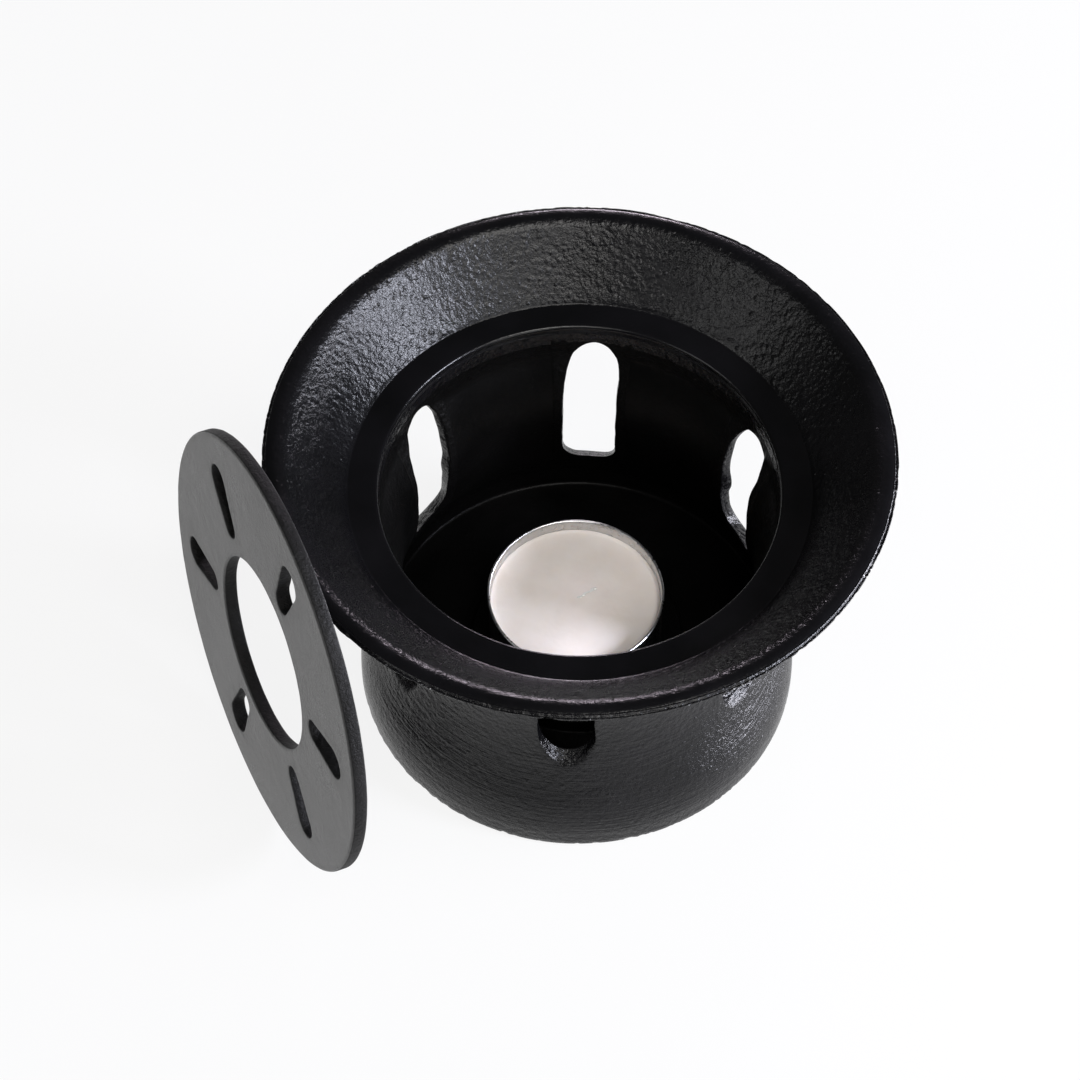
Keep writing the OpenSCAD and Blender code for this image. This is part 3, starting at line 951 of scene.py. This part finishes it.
def iron(name, dark, light, rough, coarse, fine_depth, specular):
    """Black paint on cast iron: satin grain, pebbles, and turning lines and wear where marked."""
    n = Nodes(name)
    place = n.add("ShaderNodeTexCoord").outputs["Object"]
    grain = n.add("ShaderNodeAttribute", attribute_name="grain").outputs["Fac"]
    turned = n.add("ShaderNodeAttribute", attribute_name="turned").outputs["Fac"]
    worn = n.add("ShaderNodeAttribute", attribute_name="worn").outputs["Fac"]
    broad = n.noise(place, 70.0, 3.0)
    patchy = n.noise(place, 130.0, 2.0)
    fine = n.noise(place, 3000.0, 3.0, 0.65)
    wavy = n.noise(place, 330.0, 2.0, 0.5)
    pebbles = n.pebbles(place, 820.0)
    small = n.noise(place, 1500.0, 2.0, 0.6)
    lumps = n.spots(place, 520.0, 0.24, 1.0)
    height = n.math("MULTIPLY", pebbles, n.ramp(patchy, 0.3, 0.7, 0.45, 1.0))
    height = n.math("ADD", height, n.math("MULTIPLY", small, 0.7))
    height = n.math("ADD", height, n.math("MULTIPLY", wavy, 0.9))
    height = n.math("ADD", height, n.math("MULTIPLY", lumps, 0.8))
    height = n.math("MULTIPLY", n.math("MULTIPLY", height, grain), coarse)
    flat_cells = {0: place, 1: (70.0, 70.0, 1900.0)}
    drawn_out = n.add("ShaderNodeVectorMath", flat_cells, operation="MULTIPLY").outputs[0]
    lines = n.math("MULTIPLY", n.noise(drawn_out, 1.0, 3.0, 0.6), n.math("MULTIPLY", turned, 1.1))
    height = n.math("ADD", height, lines)
    height = n.math("ADD", height, n.math("MULTIPLY", fine, fine_depth))
    bump = n.add("ShaderNodeBump", {"Height": height, "Strength": 1.0, "Distance": 0.00019})
    paint = n.mix(n.ramp(broad, 0.3, 0.7), dark, light)
    bare = n.math("MULTIPLY", worn, n.ramp(small, 0.60, 0.66))
    bare = n.math("MULTIPLY", bare, n.ramp(patchy, 0.56, 0.62))
    dull = n.ramp(n.math("ADD", broad, fine), 0.6, 1.4, rough - 0.04, rough + 0.06)
    shader = n.add("ShaderNodeBsdfPrincipled", {
        "Base Color": n.mix(bare, paint, grey(0.30)),
        "Roughness": n.math("MULTIPLY", dull, n.ramp(grain, 0.2, 0.8, 0.78, 1.0)),
        "Specular IOR Level": specular,
        "Normal": bump.outputs[0],
    })
    n.add("ShaderNodeOutputMaterial", {"Surface": shader.outputs[0]})
    return n.owner


def aluminium():
    """Dull foil with painted shade: the cup's outer side, which lies in the chamber's shade, is
    coloured dark grey.
    """
    n = Nodes("cup_foil_painted_shade")
    place = n.add("ShaderNodeTexCoord").outputs["Object"]
    grain = n.add("ShaderNodeAttribute", attribute_name="grain").outputs["Fac"]
    streak = n.noise(place, 900.0, 2.0)
    wrinkles = {"Height": n.noise(place, 260.0, 3.0), "Strength": 0.25, "Distance": 0.0003}
    bump = n.add("ShaderNodeBump", wrinkles)
    foil = n.mix(streak, grey(0.50), grey(0.66))
    # Painted shade: here the grain attribute is the cup's mark, and where it is 0, on the outer
    # side, the foil is coloured dark grey for the chamber's shade
    shader = n.add("ShaderNodeBsdfPrincipled", {
        "Base Color": n.mix(n.ramp(grain, 0.2, 0.8), grey(0.10), foil),
        "Metallic": 1.0,
        "Roughness": n.ramp(streak, 0.3, 0.7, 0.24, 0.38),
        "Normal": bump.outputs[0],
    })
    n.add("ShaderNodeOutputMaterial", {"Surface": shader.outputs[0]})
    return n.owner


def wax_material():
    n = Nodes("wax_white")
    place = n.add("ShaderNodeTexCoord").outputs["Object"]
    cloud = n.noise(place, 140.0, 3.0)
    fine = n.noise(place, 1100.0, 3.0)
    height = n.math("ADD", cloud, n.math("MULTIPLY", fine, 0.2))
    bump = n.add("ShaderNodeBump", {"Height": height, "Strength": 0.25, "Distance": 0.0005})
    warm = (0.77, 0.705, 0.665, 1)
    pale = (0.82, 0.76, 0.725, 1)
    shader = n.add("ShaderNodeBsdfPrincipled", {
        "Base Color": n.mix(n.ramp(cloud, 0.35, 0.65), warm, pale),
        "Roughness": n.ramp(fine, 0.3, 0.7, 0.42, 0.52),
        "Subsurface Weight": 0.25,
        "Subsurface Radius": (1.0, 0.8, 0.6),
        "Subsurface Scale": 0.0012,
        "Normal": bump.outputs[0],
    })
    n.add("ShaderNodeOutputMaterial", {"Surface": shader.outputs[0]})
    return n.owner


def wick_material():
    n = Nodes("wick_cotton")
    place = n.add("ShaderNodeTexCoord").outputs["Object"]
    along = n.add("ShaderNodeAttribute", attribute_name="along").outputs["Fac"]
    fibre = n.noise(place, 2600.0, 3.0)
    bump = n.add("ShaderNodeBump", {"Height": fibre, "Strength": 0.5, "Distance": 0.0002})
    shader = n.add("ShaderNodeBsdfPrincipled", {
        "Base Color": n.mix(n.ramp(fibre, 0.3, 0.7), (0.62, 0.62, 0.60, 1), (0.84, 0.84, 0.82, 1)),
        "Roughness": n.ramp(along, 0.0, 20.0, 0.55, 0.75),
        "Normal": bump.outputs[0],
    })
    n.add("ShaderNodeOutputMaterial", {"Surface": shader.outputs[0]})
    return n.owner


def floor_material():
    """Pale paper: its own white where it is seen, with a share of plain paint for shadows."""
    n = Nodes("floor_pale")
    rays = n.add("ShaderNodeLightPath").outputs
    seen = n.math("MAXIMUM", rays["Is Camera Ray"], rays["Is Glossy Ray"])
    seen = n.math("MAXIMUM", seen, rays["Is Transmission Ray"])
    seen = n.math("MULTIPLY", seen, 0.90)
    paint = n.add("ShaderNodeBsdfDiffuse", {"Color": (0.62, 0.62, 0.62, 1)})
    glow = n.add("ShaderNodeEmission", {"Color": (0.963, 0.963, 0.963, 1), "Strength": 1.0})
    mixed = n.add("ShaderNodeMixShader", {0: seen, 1: paint.outputs[0], 2: glow.outputs[0]})
    n.add("ShaderNodeOutputMaterial", {"Surface": mixed.outputs[0]})
    return n.owner


def make_floor():
    mesh = bpy.data.meshes.new("floor")
    corners = [(x * FLOOR_HALF, y * FLOOR_HALF, 0) for x, y in ((-1, -1), (1, -1), (1, 1), (-1, 1))]
    mesh.from_pydata(corners, [], [(0, 1, 2, 3)])
    mesh.materials.append(floor_material())
    obj = bpy.data.objects.new("floor", mesh)
    bpy.context.scene.collection.objects.link(obj)


def make_world():
    """A dim studio, a little lighter near the horizon."""
    world = bpy.data.worlds.new("studio")
    bpy.context.scene.world = world
    n = Nodes("studio", world)
    way = n.add("ShaderNodeTexCoord").outputs["Generated"]
    parts = n.add("ShaderNodeSeparateXYZ", {0: way})
    strength = n.ramp(parts.outputs["Z"], 0.0, 0.35, 0.12, 0.07)
    back = n.add("ShaderNodeBackground", {"Color": (1, 1, 1, 1), "Strength": strength})
    n.add("ShaderNodeOutputWorld", {"Surface": back.outputs[0]})


def area(name, place, target, size, power, colour):
    lamp = bpy.data.lights.new(name, "AREA")
    lamp.shape = "RECTANGLE"
    lamp.size, lamp.size_y = size
    lamp.energy = power
    lamp.color = colour
    obj = bpy.data.objects.new(name, lamp)
    obj.location = place
    obj.rotation_euler = (Vector(target) - Vector(place)).to_track_quat("-Z", "Y").to_euler()
    bpy.context.scene.collection.objects.link(obj)


def make_lights():
    area("key_right", (1.08, -0.29, 0.70), (0, 0, 0.06), (0.32, 0.36), 27.0, (0.84, 0.87, 1.0))
    area("high_right", (0.34, -0.50, 1.22), (0, 0, 0.03), (0.5, 0.5), 8.5, (1.0, 0.98, 0.95))
    area("high_front", (0.0, -0.84, 1.10), (0, 0, 0.03), (0.4, 0.4), 4.0, (1.0, 0.98, 0.95))
    area("front", (0.55, -1.0, 0.52), (0, 0, 0.05), (0.5, 0.5), 3.0, (1, 1, 1))
    area("left_front", (-1.0, -0.55, 0.66), (0, 0, 0.05), (0.6, 0.6), 3.5, (1, 1, 1))
    area("back", (0.05, 1.20, 0.34), (0, 0, 0.07), (0.3, 0.16), 5.0, (1.0, 0.88, 1.0))
    area("body_right", (0.60, 0.02, 0.07), (0.04, 0, 0.03), (0.45, 0.1), 11.0, (0.90, 0.90, 1.0))


def make_camera():
    data = bpy.data.cameras.new("camera")
    data.lens = CAMERA_LENS
    data.sensor_width = SENSOR
    obj = bpy.data.objects.new("camera", data)
    obj.location = CAMERA_PLACE
    obj.rotation_euler = (math.radians(90 - CAMERA_DOWN), 0.0, math.radians(CAMERA_TURN))
    bpy.context.scene.collection.objects.link(obj)
    bpy.context.scene.camera = obj


def dress(piece, node):
    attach(piece, "root")
    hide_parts(node)


make_camera()
make_world()
make_lights()
make_floor()

stand_black = grey(0.0016, 0.0, 0.15)
stand_grey = grey(0.0030, 0.05, 0.2)
stand_iron = iron("stand_black", stand_black, stand_grey, 0.26, 1.0, 0.12, 0.25)
plate_iron = iron("plate_black", grey(0.010, 0.03), grey(0.016, 0.03), 0.36, 1.2, 0.7, 0.4)
# Painted shade: the chamber's inside gets darker paint with weaker gloss, for the shade in it
chamber_shade_iron = iron("chamber_black_painted_shade", grey(0.0010), grey(0.0020, 0.05), 0.42, 1.0, 0.12, 0.06)
# Painted shade: darker, less glossy paint for the plate's steep walls, standing in for the shade in
# the slots
wall_shade_iron = iron("plate_wall_painted_shade", grey(0.004, 0.03), grey(0.008, 0.03), 0.55, 1.5, 0.7, 0.1)
dress(make_stand(stand_iron, chamber_shade_iron), "warmer_body")
dress(make_plate(plate_iron, wall_shade_iron), "trivet_plate")
dress(make_cup(aluminium()), "candle_cup")
dress(make_wax(wax_material()), "candle_wax")
dress(make_wick(wick_material()), "candle_wick")

bpy.context.scene.view_settings.view_transform = "Standard"
